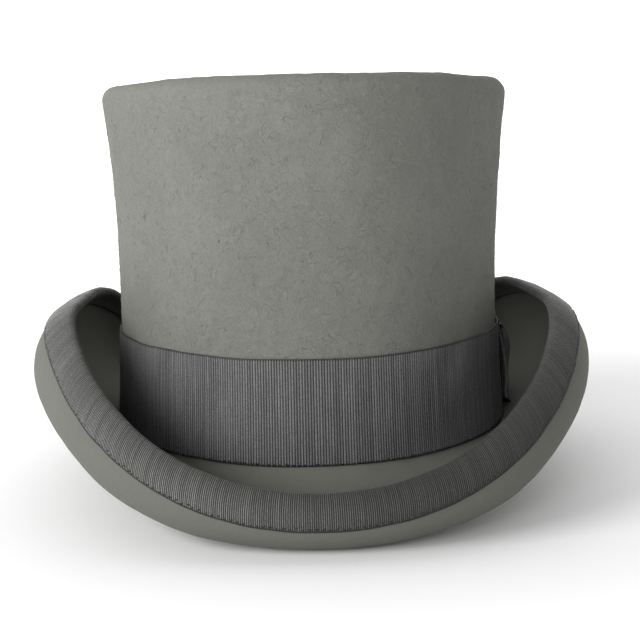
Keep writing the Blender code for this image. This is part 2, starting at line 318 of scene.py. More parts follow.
def tube_mesh(name, rings, capped):
    """Separate tubes in one mesh, from rings by tube, place along it and spoke."""
    count, points, sides = rings.shape[:3]
    spoke = np.arange(sides)
    following = (spoke + 1) % sides
    first = np.arange(count)[:, None, None] * points * sides
    ring = first + np.arange(points - 1)[None, :, None] * sides
    quads = np.stack([ring + spoke, ring + following,
                      ring + following + sides, ring + spoke + sides], -1)
    faces = quads.reshape(-1, 4).tolist()
    if capped:
        start = first[:, 0] + spoke
        faces += start[:, ::-1].tolist()
        faces += (start + (points - 1) * sides).tolist()
    mesh = bpy.data.meshes.new(name)
    mesh.from_pydata(rings.reshape(-1, 3).tolist(), [], faces)
    return mesh


def joined(name, pieces):
    """One object from several, keeping their materials."""
    bpy.ops.object.select_all(action="DESELECT")
    for piece in pieces:
        piece.select_set(True)
    bpy.context.view_layer.objects.active = pieces[0]
    bpy.ops.object.join()
    pieces[0].name = name
    return pieces[0]


def settle(piece, slot, *nodes):
    """The piece rides on the hat and stands for its CAD nodes, which are hidden; slot is not used."""
    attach(piece, "root")
    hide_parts(*nodes)
    return piece


def rib_columns(count, seed):
    """Rib heights, 0 in a valley and 1 on a crest, for count ribs of a few samples each."""
    random = np.random.default_rng(seed)
    strength = random.uniform(0.95, 1.05, count)
    return (np.array(RIB_SAMPLES)[None, :] * strength[:, None]).ravel()


# ------ materials

BLACK = (0.0, 0.0, 0.0)
WHITE = (1.0, 1.0, 1.0)


def scaled_by(colour, factor):
    return tuple(channel * factor for channel in colour)


class Look:
    """A Principled material and short calls that add nodes to it."""

    def __init__(self, name, **values):
        self.material = bpy.data.materials.new(name)
        self.material.use_nodes = True
        self.tree = self.material.node_tree
        self.shader = self.tree.nodes["Principled BSDF"]
        for socket, value in values.items():
            self.shader.inputs[socket.replace("_", " ")].default_value = value

    def node(self, kind, settings=None, **inputs):
        made = self.tree.nodes.new("ShaderNode" + kind)
        for key, value in (settings or {}).items():
            setattr(made, key, value)
        for socket, value in inputs.items():
            self.feed(made.inputs[socket.replace("_", " ")], value)
        return made

    def feed(self, socket, value):
        if isinstance(value, bpy.types.NodeSocket):
            self.tree.links.new(value, socket)
        else:
            socket.default_value = value

    def math(self, operation, *values):
        made = self.tree.nodes.new("ShaderNodeMath")
        made.operation = operation
        for socket, value in zip(made.inputs, values):
            self.feed(socket, value)
        return made.outputs[0]

    def times(self, first, second):
        return self.math("MULTIPLY", first, second)

    def plus(self, first, second):
        return self.math("ADD", first, second)

    def place(self):
        """The position in the hat's own frame, in metres."""
        return self.node("TexCoord").outputs["Object"]

    def cloth_uv(self):
        """Distances along and across the cloth, in metres."""
        return self.node("UVMap", {"uv_map": "cloth"}).outputs["UV"]

    def scaled(self, vector, scale, offset=(0.0, 0.0, 0.0)):
        return self.node("Mapping", Vector=vector, Scale=scale, Location=offset).outputs["Vector"]

    def noise(self, vector, scale, detail=2.0, rough=0.5, distortion=0.0):
        made = self.node("TexNoise", Vector=vector, Scale=scale, Detail=detail, Roughness=rough)
        made.inputs["Distortion"].default_value = distortion
        return made.outputs["Fac"]

    def ramp(self, value, *stops):
        made = self.node("ValToRGB", Fac=value)
        elements = made.color_ramp.elements
        while len(elements) < len(stops):
            elements.new(0.5)
        for element, (at, colour) in zip(elements, stops):
            element.position = at
            element.color = (*colour, 1.0)
        return made.outputs["Color"]

    def fade_from(self, spot, near, far):
        """A smooth change between two pairs of distance from a spot and value there."""
        away = self.node("VectorMath", {"operation": "DISTANCE"})
        self.feed(away.inputs[0], self.place())
        away.inputs[1].default_value = spot
        made = self.node("MapRange", {"interpolation_type": "SMOOTHSTEP"},
                         Value=away.outputs["Value"], From_Min=near[0], From_Max=far[0],
                         To_Min=near[1], To_Max=far[1])
        return made.outputs["Result"]

    def mix(self, share, first, second, blend="MIX"):
        made = self.node("Mix", {"data_type": "RGBA", "blend_type": blend})
        self.feed(made.inputs["Factor"], share)
        for socket, value in ((made.inputs[6], first), (made.inputs[7], second)):
            self.feed(socket, (*value, 1.0) if isinstance(value, tuple) else value)
        return made.outputs[2]

    def hairs(self, vector, scale, width, seed):
        """Thin curling lines, 1 on a line and 0 off it: the level lines of a bent noise."""
        moved = self.scaled(vector, (1.0, 1.0, 1.0), (seed * 0.37, seed * 0.71, seed * 0.13))
        level = self.noise(moved, scale, 1.0, 0.4, 1.2)
        near = self.math("ABSOLUTE", self.math("SUBTRACT", level, 0.5))
        line = self.math("SUBTRACT", 1.0, self.math("DIVIDE", near, width))
        return self.math("MAXIMUM", line, 0.0)

    def bump(self, height, distance, strength=1.0, under=None):
        made = self.node("Bump", Height=height, Distance=distance, Strength=strength)
        if under is not None:
            self.tree.links.new(under, made.inputs["Normal"])
        return made.outputs["Normal"]

    def finish(self, colour, normal=None, roughness=None):
        """The material, with these outputs on its shader."""
        for socket, value in (("Base Color", colour), ("Normal", normal), ("Roughness", roughness)):
            if value is not None:
                self.feed(self.shader.inputs[socket], value)
        return self.material


def felt_look(name, colour, coarse, sheen):
    """Wool felt: mottled wool, matted clumps and single hairs. coarse is 1 for a raised nap."""
    look = Look(name, Roughness=0.95, Specular_IOR_Level=0.12, Sheen_Weight=sheen,
                Sheen_Roughness=0.55, Sheen_Tint=(0.80, 0.82, 0.76, 1.0))
    place = look.place()
    dark = scaled_by(colour, 1.0 - 0.20 * coarse - 0.04)
    light = scaled_by(colour, 1.0 + 0.22 * coarse + 0.04)
    broad = look.noise(place, 22.0, 3.0, 0.55, 0.4)
    clumps = look.noise(place, 330.0, 5.0, 0.68, 0.9)
    grain = look.noise(place, 1500.0, 3.0, 0.7)
    mottle = look.plus(look.times(broad, 0.30), look.times(clumps, 0.30))
    mottle = look.plus(mottle, look.times(grain, 0.40))
    base = look.ramp(mottle, (0.30, dark), (0.70, light))
    pale = look.math("MAXIMUM", look.hairs(place, 210.0, 0.010, 1.0),
                     look.hairs(place, 340.0, 0.012, 2.0))
    deep = look.math("MAXIMUM", look.hairs(place, 260.0, 0.011, 3.0),
                     look.hairs(place, 420.0, 0.013, 4.0))
    patch = look.ramp(look.noise(place, 140.0, 2.0), (0.45, BLACK), (0.60, WHITE))
    pale = look.times(pale, patch)
    pale_share = look.times(pale, 0.50 * coarse + 0.08)
    base = look.mix(pale_share, base, scaled_by(colour, 1.55))
    deep_share = look.times(deep, 0.13 * coarse + 0.05)
    base = look.mix(deep_share, base, scaled_by(colour, 0.62))
    curl = look.times(look.hairs(place, 150.0, 0.022, 7.0), patch)
    normal = look.bump(curl, 0.00020 * coarse + 0.00001, 0.8)
    normal = look.bump(clumps, 0.00042 * coarse + 0.00006, 0.8, normal)
    normal = look.bump(grain, 0.00008 * coarse + 0.00003, 0.8, normal)
    normal = look.bump(look.plus(pale, deep), 0.00005 * coarse + 0.00001, 0.7, normal)
    return look.finish(base, normal)


def hair_look():
    """Single wool hairs, some pale and some dark."""
    look = Look("wool_hair", Roughness=0.80, Specular_IOR_Level=0.25)
    kind = look.noise(look.place(), 160.0, 2.0)
    base = look.ramp(kind, (0.36, (0.104, 0.106, 0.095)), (0.48, (0.236, 0.240, 0.219)))
    return look.finish(base)


def ribbon_look(name, colour, gloss, painted_shade_at=None):
    """Grosgrain: painted shade in the valleys between ribs and a painted highlight on each crest, warp
    threads over each rib, uneven dye.

    A place given as the last argument is a spot round which shade is painted into the ribbon, darkening
    it towards black.
    """
    look = Look(name, Roughness=0.62, Specular_IOR_Level=0.30, Sheen_Weight=gloss,
                Sheen_Roughness=0.40, Sheen_Tint=(0.75, 0.77, 0.80, 1.0))
    uv = look.cloth_uv()
    rib = look.node("Attribute", {"attribute_name": "rib"}).outputs["Fac"]
    # The rib height paints the colour: painted shade in the valleys and a painted highlight on the
    # crests.
    base = look.ramp(rib, (0.0, scaled_by(colour, 0.03)), (0.72, scaled_by(colour, 0.34)),
                     (1.0, scaled_by(colour, 2.90)))
    streak = look.noise(look.scaled(uv, (900.0, 60.0, 1.0)), 1.0, 3.0, 0.6)
    streak = look.ramp(streak, (0.30, (0.80, 0.80, 0.80)), (0.72, (1.15, 1.15, 1.15)))
    base = look.mix(1.0, base, streak, "MULTIPLY")
    weft = look.noise(look.scaled(uv, (1100.0, 1500.0, 1.0)), 1.0, 2.0, 0.6)
    weft = look.ramp(weft, (0.35, (0.72, 0.72, 0.72)), (0.65, (1.22, 1.22, 1.22)))
    base = look.mix(1.0, base, weft, "MULTIPLY")
    dye = look.noise(look.place(), 35.0, 3.0)
    base = look.mix(look.times(dye, 0.30), base, scaled_by(colour, 0.62))
    # Painted shade: the colour darkens towards black round the given spot.
    if painted_shade_at is not None:
        depth = look.fade_from(painted_shade_at, (0.02, 1.0), (0.115, 0.0))
        base = look.mix(look.times(depth, 0.68), base, (0.004, 0.004, 0.004))
    yarn = look.node("TexWave", {"bands_direction": "Y"}, Vector=uv, Scale=640.0, Distortion=1.5,
                     Detail=1.0).outputs["Fac"]
    fuzz = look.noise(look.place(), 2600.0, 2.0, 0.6)
    normal = look.bump(yarn, 0.00005, 0.6)
    normal = look.bump(fuzz, 0.00004, 0.6, normal)
    return look.finish(base, normal)


def thread_look():
    """Dark twisted sewing thread."""
    look = Look("sewing_thread", Roughness=0.50, Specular_IOR_Level=0.4)
    uv = look.cloth_uv()
    twist = look.node("TexWave", {"bands_direction": "DIAGONAL"}, Vector=uv, Scale=700.0).outputs["Fac"]
    base = look.ramp(twist, (0.0, (0.006, 0.006, 0.007)), (1.0, (0.030, 0.030, 0.032)))
    return look.finish(base, look.bump(twist, 0.00008, 0.8))


def leather_look():
    """Brown leather with a pebbled grain and fine creases."""
    look = Look("sweatband_leather", Roughness=0.45, Specular_IOR_Level=0.45)
    place = look.place()
    pebble = look.node("TexVoronoi", {"feature": "DISTANCE_TO_EDGE"}, Vector=place,
                       Scale=900.0).outputs["Distance"]
    broad = look.noise(place, 45.0, 4.0, 0.6)
    crease = look.hairs(place, 90.0, 0.010, 6.0)
    base = look.ramp(broad, (0.30, (0.075, 0.038, 0.019)), (0.70, (0.155, 0.085, 0.045)))
    base = look.mix(look.times(crease, 0.5), base, (0.05, 0.025, 0.012))
    normal = look.bump(pebble, 0.00025, 0.35)
    normal = look.bump(crease, 0.0001, 0.6, normal)
    rough = look.plus(0.36, look.times(broad, 0.22))
    return look.finish(base, normal, rough)


def satin_look():
    """Black satin with long shiny float threads."""
    look = Look("lining_satin", Roughness=0.30, Specular_IOR_Level=0.55, Anisotropic=0.5,
                Sheen_Weight=0.25, Sheen_Roughness=0.25)
    uv = look.cloth_uv()
    float_threads = look.noise(look.scaled(uv, (4200.0, 260.0, 1.0)), 1.0, 3.0, 0.6)
    broad = look.noise(look.place(), 30.0, 3.0)
    base = look.ramp(broad, (0.3, (0.012, 0.012, 0.014)), (0.7, (0.030, 0.030, 0.035)))
    rough = look.plus(0.24, look.times(float_threads, 0.20))
    return look.finish(base, look.bump(float_threads, 0.00004, 0.7), rough)


def grained_look(name, grain, dark, light, relief, stretch=(1.0, 1.0, 1.0), **values):
    """A plain surface that one fine noise colours and roughens."""
    look = Look(name, **values)
    pattern = look.noise(look.scaled(look.place(), stretch), *grain)
    base = look.ramp(pattern, (0.3, dark), (0.7, light))
    return look.finish(base, look.bump(pattern, *relief))


# ------ crown and brim

def crown_unevenness(points):
    """How far the felt stands out from its block, at points on the crown."""
    felt = ripple(points, 0.060, 0.00022, 11) + ripple(points, 0.016, 0.00007, 12)
    return felt + ripple(points, 0.006, 0.000035, 13) - 0.00012


def make_crown(look):
    """The crown's outer and inner faces and the rounded foot between them."""
    theta = turns(FELT_COLUMNS)
    wall_top = CROWN_HEIGHT - TIP_EDGE_RADIUS
    bottom = base_line(theta) + CROWN_LIFT
    half = CROWN_FELT / 2.0

    def surface(inset, going_up):
        """Rows up the wall, round the tip's edge and in over the tip, or the same backwards."""
        wall = [on_crown(theta, bottom + (wall_top - bottom) * share, -inset)
                for share in np.linspace(0.0, 1.0, 96 if going_up else 24)]
        radius = TIP_EDGE_RADIUS - inset
        edge = []
        for turn in np.linspace(0.0, math.pi / 2.0, 9)[1:]:
            ring = on_crown(theta, wall_top, radius * math.cos(turn) - TIP_EDGE_RADIUS)
            ring[:, 2] += radius * math.sin(turn)
            edge.append(ring)
        flat = edge[-1]
        tip = []
        for share in np.linspace(0.0, 0.985, 40 if going_up else 16)[1:]:
            ring = flat.copy()
            ring[:, :2] *= 1.0 - share
            tip.append(ring)
        rows = np.array(wall + edge + tip)
        return rows if going_up else rows[::-1]

    outer = surface(0.0, True)
    outer += normals_of(outer) * crown_unevenness(outer)[..., None]
    piece = grid_piece("crown_felt_outer", outer, look, cap=True)
    inner = grid_piece("crown_felt_inner", surface(CROWN_FELT, False)[1:], look)
    lowest = on_crown(theta, bottom - half * 0.3, -half)
    foot = np.array([surface(CROWN_FELT, False)[-1], lowest, outer[0]])
    foot = grid_piece("crown_felt_foot", foot, look)
    settle(joined("crown_felt_cloth", [piece, inner, foot]), "crown_felt", "crown_felt")


def make_fibres(look):
    """Loose curled wool hairs that lie on the crown's nap."""
    random = np.random.default_rng(14)
    count, points = FIBRES, 7
    share = np.linspace(0.0, 1.0, points)
    theta = random.uniform(0.0, FULL_TURN, count)
    low = base_line(theta) + FIBRES_START_UP
    height = low + (CROWN_HEIGHT - TIP_EDGE_RADIUS - low) * random.uniform(0.0, 1.0, count)
    length = random.uniform(*FIBRE_LENGTHS, count)
    bend = random.normal(0.0, 2.2, count)
    heading = random.uniform(0.0, FULL_TURN, count)[:, None] + bend[:, None] * share[None, :]
    step = length[:, None] / (points - 1)
    along = np.cumsum(np.cos(heading) * step, axis=1)
    up = np.cumsum(np.sin(heading) * step, axis=1)
    angle = theta[:, None] + along / CROWN_MEAN_RADIUS
    level = np.clip(height[:, None] + up, 0.0, CROWN_HEIGHT - TIP_EDGE_RADIUS)
    lift = random.uniform(0.00005, 0.00022, count)[:, None] * np.sin(np.pi * share)[None, :]
    lift = lift - 0.00003
    base = on_crown(angle, level)
    centre = on_crown(angle, level, crown_unevenness(base) + lift)
    out = on_crown(angle, level, 0.01) - base
    out /= np.linalg.norm(out, axis=-1, keepdims=True)
    ahead = np.gradient(centre, axis=1)
    side = np.cross(ahead, out)
    side /= np.maximum(np.linalg.norm(side, axis=-1, keepdims=True), 1e-12)
    thinning = 1.0 - 0.5 * np.abs(2.0 * share - 1.0) ** 3
    radius = random.uniform(*FIBRE_RADII, count)[:, None] * thinning
    mesh = tube_mesh("crown_felt_fibres", rings_round(centre, out, side, radius, 3), False)
    piece = finished_object("crown_felt_fibres", mesh, look)
    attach(piece, "root")


def make_brim(look):
    """The brim from its collar inside the crown, round a smoothed bend, out to the bound edge."""
    theta = turns(FELT_COLUMNS)
    brim = Brim(theta)
    half = BRIM_FELT / 2.0
    inset = CROWN_FELT + GAP + half
    middle = [on_crown(theta, base_line(theta) + height, -inset) for height in COLLAR_HEIGHTS]
    shares = np.linspace(0.0, 1.0, 54) ** 1.1
    middle += [brim.point(share * (brim.length - BRIM_EDGE_BACK)) for share in shares]
    middle = np.array(middle)
    low, high = BEND_ROWS
    for _ in range(3):
        middle[low:high] = (middle[low - 1:high - 1] + 2.0 * middle[low:high]
                            + middle[low + 1:high + 1]) / 4.0
    # The normals have to point up on the brim's flat, whose rows are the middle ones.
    normal = normals_of(middle)
    flat_row = len(middle) // 2
    if normal[flat_row, 0, 2] < 0.0:
        normal = -normal
    felt = ripple(middle, 0.050, 0.00016, 21) + ripple(middle, 0.014, 0.00004, 22)
    middle = middle + normal * felt[..., None]
    top, under = middle + normal * half, middle - normal * half
    rows = np.concatenate([top[::-1], under])
    piece = grid_piece("brim_felt_cloth", rows, look, looped=True)
    settle(piece, "brim_felt", "brim_felt")


# ------ ribbons

def band_bottom(theta):
    """The height of the band's lower edge."""
    share = side_share(theta)
    return base_line(theta) - BAND_FRONT_DROP * (1.0 - share) + BAND_SIDE_LIFT * share


def edge_fade(across, width, fade=0.0009):
    """0.7 at a ribbon's woven edges and 1 inside them."""
    near = np.minimum(across, width - across)
    return 0.7 + 0.3 * np.clip(near / fade, 0.0, 1.0)


def make_band(look):
    """The ribbed band, with soft pulls and slightly wandering edges."""
    offset = GAP + RIBBON / 2.0

    def girth(theta):
        return on_crown(theta, base_line(theta) + BAND_GIRTH_UP, offset)

    _, length = even_turns(girth, 8)
    ribs = round(length / RIB_PITCH)
    theta, _ = even_turns(girth, ribs * len(RIB_SAMPLES))
    height = rib_columns(ribs, 31)
    across = np.concatenate([[0.0, 0.0004, 0.0009], np.linspace(0.002, BAND_TALL - 0.002, 12),
                             [BAND_TALL - 0.0009, BAND_TALL - 0.0004, BAND_TALL]])
    fade = edge_fade(across, BAND_TALL)
    rows = []
    for v, strength in zip(across, fade):
        raised = offset + RIB_DEPTH * (height * strength - 0.5)
        rows.append(on_crown(theta, band_bottom(theta) + v, raised))
    rows = np.array(rows)
    pull = ripple(rows, 0.045, 0.00009, 32)
    rows += normals_of(rows) * np.abs(pull)[..., None]
    wander = ripple(rows, 0.030, 0.00012, 33)
    rows[..., 2] += wander * np.linspace(1.0, -1.0, len(across))[:, None]
    piece = grid_piece("hat_band_ribbon", rows, look, ribs=height[None, :] * fade[:, None],
                       thickness=RIBBON_SKIN)
    settle(piece, "band_ribbon", "hat_band")


def make_binding(look):
    """The ribbon folded over the rim. Each spot is a row: arc back from the rim, above the
    felt's middle, ahead of it, and how strong the ribs are there."""
    def rim(theta):
        brim = Brim(theta)
        return brim.point(brim.length)

    _, length = even_turns(rim, 8)
    ribs = round(length / BINDING_RIB_PITCH)
    theta, _ = even_turns(rim, ribs * len(RIB_SAMPLES))
    brim = Brim(theta)
    height = rib_columns(ribs, 41)
    nose = BINDING_NOSE
    rest = BRIM_FELT / 2.0 + 0.00005
    spots = [(BINDING_INSIDE, rest, 0.0, 0.2), (BINDING_INSIDE, nose, 0.0, 0.35)]
    spots += [(back, nose, 0.0, 1.0) for back in np.linspace(BINDING_INSIDE - 0.0007, 0.0012, 4)]
    for turn in np.linspace(80.0, -80.0, 5):
        lift, ahead = math.sin(math.radians(turn)), math.cos(math.radians(turn))
        spots.append((0.0, nose * lift, (nose + 0.0002) * ahead, 1.0))
    spots += [(back, -nose, 0.0, 1.0) for back in np.linspace(0.0012, BINDING_OUTSIDE - 0.0007, 6)]
    spots += [(BINDING_OUTSIDE, -nose, 0.0, 0.35), (BINDING_OUTSIDE, -rest, 0.0, 0.2)]
    rows = np.array([brim.point(brim.length - back, above, ahead)
                     for back, above, ahead, _ in spots])
    strength = np.array([spot[3] for spot in spots])
    # The normals have to point out of the fold: at the front, the outer side's down and forward.
    normal = normals_of(rows)
    down_and_forward = np.array([0.0, -1.0, -1.0])
    if normal[-6, 0] @ down_and_forward < 0.0:
        normal = -normal
    lift = RIB_DEPTH * (height[None, :] * strength[:, None] - 0.4)
    lift += np.abs(ripple(rows, 0.028, 0.00012, 42))
    rows += normal * lift[..., None]
    piece = grid_piece("edge_binding_ribbon", rows[::-1], look,
                       ribs=height[None, :] * strength[::-1, None])
    settle(piece, "binding_ribbon", "edge_binding")


# ------ stitches

def stitch_row(name, node, path, outward, look, pitch, length, radius, seed, slant=0.0, wander=0.00006):
    """A row of separate short stitches that dive into the cloth at both ends."""
    closed = np.concatenate([path, path[:1]])
    along = np.concatenate([[0.0], np.cumsum(np.linalg.norm(np.diff(closed, axis=0), axis=1))])
    count = round(along[-1] / pitch)
    random = np.random.default_rng(seed)
    start = (np.arange(count) + random.uniform(-0.12, 0.12, count)) * along[-1] / count
    share = np.linspace(0.0, 1.0, 7)
    reach = length * random.uniform(0.75, 1.15, count)
    spots = (start[:, None] + share[None, :] * reach[:, None]) % along[-1]
    closed_out = np.concatenate([outward, outward[:1]])
    centre = np.stack([np.interp(spots, along, closed[:, k]) for k in range(3)], -1)
    out = np.stack([np.interp(spots, along, closed_out[:, k]) for k in range(3)], -1)
    out /= np.linalg.norm(out, axis=-1, keepdims=True)
    ahead = np.gradient(centre, axis=1)
    ahead /= np.linalg.norm(ahead, axis=-1, keepdims=True)
    side = np.cross(ahead, out)
    lean = slant + random.normal(0.0, 0.10, count)
    drift = random.normal(0.0, wander, count)[:, None, None]
    rise = radius * (1.5 * np.sin(np.pi * share) ** 0.6 - 1.0)
    leaning = (lean[:, None] * (share - 0.5) * length)[..., None]
    centre = centre + out * rise[None, :, None] + side * (leaning + drift)
    size = radius * (1.0 - 0.30 * np.abs(2.0 * share - 1.0) ** 3)
    sides = 6
    mesh = tube_mesh(name, rings_round(centre, out, side, size, sides), True)
    layer = mesh.uv_layers.new(name="cloth")
    ids = np.zeros(len(mesh.loops), np.int64)
    mesh.loops.foreach_get("vertex_index", ids)
    ring_of, spoke = ids // sides % len(share), ids % sides
    uv = np.stack([ring_of * length / (len(share) - 1), spoke * FULL_TURN * radius / sides], -1)
    layer.data.foreach_set("uv", uv.ravel())
    settle(finished_object(name, mesh, look), "thread", node)


def make_stitches(look):
    """The five rows: band, binding outside and inside, crown seam and sweatband."""
    theta = turns(STITCH_PATH_POINTS)

    def crown_path(height, offset, outward):
        """A ring on the crown and the way out of the cloth at each of its points."""
        path = on_crown(theta, height, offset)
        return path, on_crown(theta, height, offset + outward) - path

    path, out = crown_path(band_bottom(theta) + BAND_STITCH_UP, 0.0010, 0.010)
    stitch_row("band_stitch_row", "band_stitches", path, out, look, pitch=0.0024, length=0.0017,
               radius=0.00036, seed=51, slant=0.12, wander=0.00010)
    brim = Brim(theta)
    for name, node, back, side in (
        ("binding_stitch_row_outer", "binding_stitches_outer", 0.0121, -1.0),
        ("binding_stitch_row_inner", "binding_stitches_inner", 0.0094, 1.0),
    ):
        arc = brim.length - back
        above = side * (BINDING_NOSE + 0.00010)
        path = brim.point(arc, above)
        out = brim.point(arc, above + side * 0.010) - path
        stitch_row(name, node, path, out, look, pitch=0.0024, length=0.0016, radius=0.00032,
                   seed=52, slant=0.30 * side, wander=0.00020)
    inset = CROWN_FELT + GAP + BRIM_FELT + 0.0002
    path, out = crown_path(base_line(theta) + CROWN_SEAM_UP, -inset, -0.010)
    stitch_row("crown_seam_stitch_row", "crown_seam_thread", path, out, look, pitch=0.0050,
               length=0.0032, radius=0.00022, seed=53)
    inset = SWEATBAND_INSET + SWEATBAND / 2.0
    path, out = crown_path(base_line(theta) + SWEATBAND_BOTTOM + SWEATBAND_STITCH_UP, -inset, -0.010)
    stitch_row("sweatband_stitch_row", "sweatband_stitches", path, out, look, pitch=0.0030,
               length=0.0020, radius=0.00024, seed=54)


# ------ bow

def ribbon_grid(name, centre, ribs_along, look, seed, node,
                thickness=RIBBON_SKIN, painted_highlight_ends=False):
    """A bow piece: rows along the ribbon with ribs across it, and columns over its width."""
    samples = len(RIB_SAMPLES)
    count = ribs_along * samples
    height = rib_columns(ribs_along, seed)
    rows = centre(np.arange(count) / count)
    closed = bool(np.allclose(rows[0], centre(np.array([1.0]))[0], atol=1e-6))
    # The end ribs are set to crest height, which raises them and gives them the crest's painted
    # highlight.
    if painted_highlight_ends:
        height[:samples] = height[-samples:] = 1.0
    width = rows.shape[1]
    across = np.linspace(0.0, 1.0, width)
    fade = 0.25 + 0.75 * np.clip(np.minimum(across, 1.0 - across) / 0.04, 0.0, 1.0)
    normal = normals_of(rows, False, closed)
    rib = height[:, None] * fade[None, :]
    rows = rows + normal * (RIB_DEPTH * 0.9 * (rib - 0.5))[..., None]
    rows += normal * ripple(rows, 0.022, 0.00010, seed + 1)[..., None]
    piece = grid_piece(name, rows, look, around=False, looped=closed, ribs=rib, thickness=thickness)
    settle(piece, "band_ribbon", node)


def bow_loop(name, node, wing, knot, look, seed):
    """A ribbon loop, full at its wing and pinched at the knot."""
    low, high = BOW_LOOP_HEIGHTS
    middle, half = (low + high) / 2.0, (high - low) / 2.0

    def centre(along):
        turn = along * FULL_TURN
        share = 0.5 - 0.5 * np.cos(turn)
        fullness = 0.30 + 0.70 * np.sqrt(share)
        theta = knot + (wing - knot) * share
        inner = BOW_LOOP_OFFSETS[0] - BOW_LOOP_PINCH * (1.0 - share) - 0.0019 * fullness
        outer = BOW_LOOP_OFFSETS[1] - BOW_LOOP_PINCH * (1.0 - share) + 0.0027 * fullness
        swing = 0.5 + 0.5 * np.sin(turn)
        across = np.linspace(-1.0, 1.0, 17)
        pinch = 1.0 - 0.20 * (1.0 - share) ** 2
        shape = np.interp(across, BOW_LOOP_ACROSS, BOW_LOOP_FULLNESS)
        offset = inner[:, None] + ((outer - inner) * swing)[:, None] * shape[None, :]
        heights = middle + half * across[None, :] * pinch[:, None]
        return on_crown(theta[:, None], heights, offset)

    length = 2.0 * abs(wing - knot) * CROWN_HALF_LENGTHS[0]
    ribs = round(length / RIB_PITCH)
    ribbon_grid(name, centre, ribs, look, seed, node)


def make_bow(look):
    """The underlay against the band, a loop to either side and the knot over them."""
    low, high = BOW_UNDERLAY_HEIGHTS
    span = BOW_BACK - BOW_FRONT
    length = span * CROWN_HALF_LENGTHS[0]

    def underlay(along):
        theta = BOW_FRONT + span * along[:, None]
        across = np.linspace(0.0, 1.0, 15)[None, :]
        front = np.exp(-(along[:, None] * length / 0.0035) ** 2)
        bulge = 0.0030 * np.sin(np.pi * across ** 0.7) * front
        hook = 0.0034 * np.exp(-(across / 0.06) ** 2) * front
        back = 0.0012 * np.clip((along[:, None] - 0.93) / 0.07, 0.0, 1.0) ** 2
        height = low + (high - low) * across
        return on_crown(theta, height, BOW_UNDERLAY_OFFSET + bulge + hook + back)

    # The underlay's open ends get the crests' painted highlight.
    ribbon_grid("bow_underlay_ribbon", underlay, round(length / RIB_PITCH), look, 61, "bow_underlay",
                thickness=0.0010, painted_highlight_ends=True)
    one = math.radians(1.0)
    bow_loop("bow_front_loop_ribbon", "bow_front_loop", BOW_FRONT + 2.5 * one,
             BOW_KNOT - 1.2 * one, look, 63)
    bow_loop("bow_back_loop_ribbon", "bow_back_loop", BOW_BACK - one, BOW_KNOT + 1.2 * one, look, 65)

    def knot(along):
        bottom, top = BOW_KNOT_HEIGHTS
        inner, outer = BOW_KNOT_OFFSETS
        turn = np.pi * (along - 0.5)
        offset = inner + (outer - inner) * np.clip(np.cos(turn), 0.0, 1.0) ** 0.22
        climb = np.sign(turn) * np.abs(np.sin(turn)) ** 0.75
        height = (bottom + top) / 2.0 + (top - bottom) / 2.0 * climb
        across = np.linspace(-1.0, 1.0, 9)
        waist = 1.0 - 0.14 * np.cos(turn) ** 2
        theta = BOW_KNOT + BOW_KNOT_HALF_WIDTH * across[None, :] * waist[:, None]
        swell = 0.0006 * (1.0 - across[None, :] ** 2)
        return on_crown(theta, height[:, None], offset[:, None] + swell)

    ribbon_grid("bow_knot_ribbon", knot, 40, look, 67, "bow_knot")


# ------ inside of the hat

def make_sweatband(look):
    """The leather band, which slackens towards its free upper edge."""
    theta = turns(FELT_COLUMNS)
    half = SWEATBAND / 2.0
    share = np.linspace(0.0, 1.0, 26)
    heights = SWEATBAND_BOTTOM + (SWEATBAND_TOP - SWEATBAND_BOTTOM) * share
    middle = np.array([on_crown(theta, base_line(theta) + h, -SWEATBAND_INSET) for h in heights])
    normal = normals_of(middle)
    slack = ripple(middle, 0.055, 0.00035, 71) * share[:, None] ** 2
    middle = middle - normal * (np.abs(slack) + 0.00002)[..., None]
    middle[..., 2] += ripple(middle, 0.070, 0.00030, 72) * share[:, None]
    inner, outer = middle - normal * half, middle + normal * half
    lip = middle[-1:] + np.array([0.0, 0.0, half * 0.8])
    rows = np.concatenate([outer, lip, inner[::-1]])
    piece = grid_piece("sweatband_hide", rows, look, looped=True)
    settle(piece, "sweatband_leather", "sweatband")


def ring_tube(name, node, slot, height_of, inset, radius, look, twist=0.0):
    """A round bar in an oval ring inside the crown, with a rope twist if one is given."""
    theta = turns(FELT_COLUMNS)
    centre = on_crown(theta, height_of(theta), -inset)
    out = on_crown(theta, height_of(theta)) - centre
    out /= np.linalg.norm(out, axis=1, keepdims=True)
    up = np.array([0.0, 0.0, 1.0])
    rows = []
    columns = np.arange(len(centre))
    for turn in turns(12):
        wave = 1.0 + twist * np.sin(columns * FULL_TURN / 8.0 + turn)
        rows.append(centre + radius * wave[:, None] * (out * math.cos(turn) + up * math.sin(turn)))
    settle(grid_piece(name, np.array(rows), look, looped=True), slot, node)


def make_reed_and_piping(oilcloth, satin):
    """The cord in the sweatband's lower edge and the one round the lining's tip."""
    ring_tube("sweatband_reed_cover", "sweatband_reed", "reed",
              lambda theta: base_line(theta) - REED_DROP, REED_INSET, REED_RADIUS, oilcloth)
    ring_tube("lining_piping_cord", "lining_piping", "lining_satin",
              lambda theta: CROWN_HEIGHT - PIPING_BELOW_TIP, PIPING_INSET, PIPING_RADIUS, satin,
              twist=0.05)


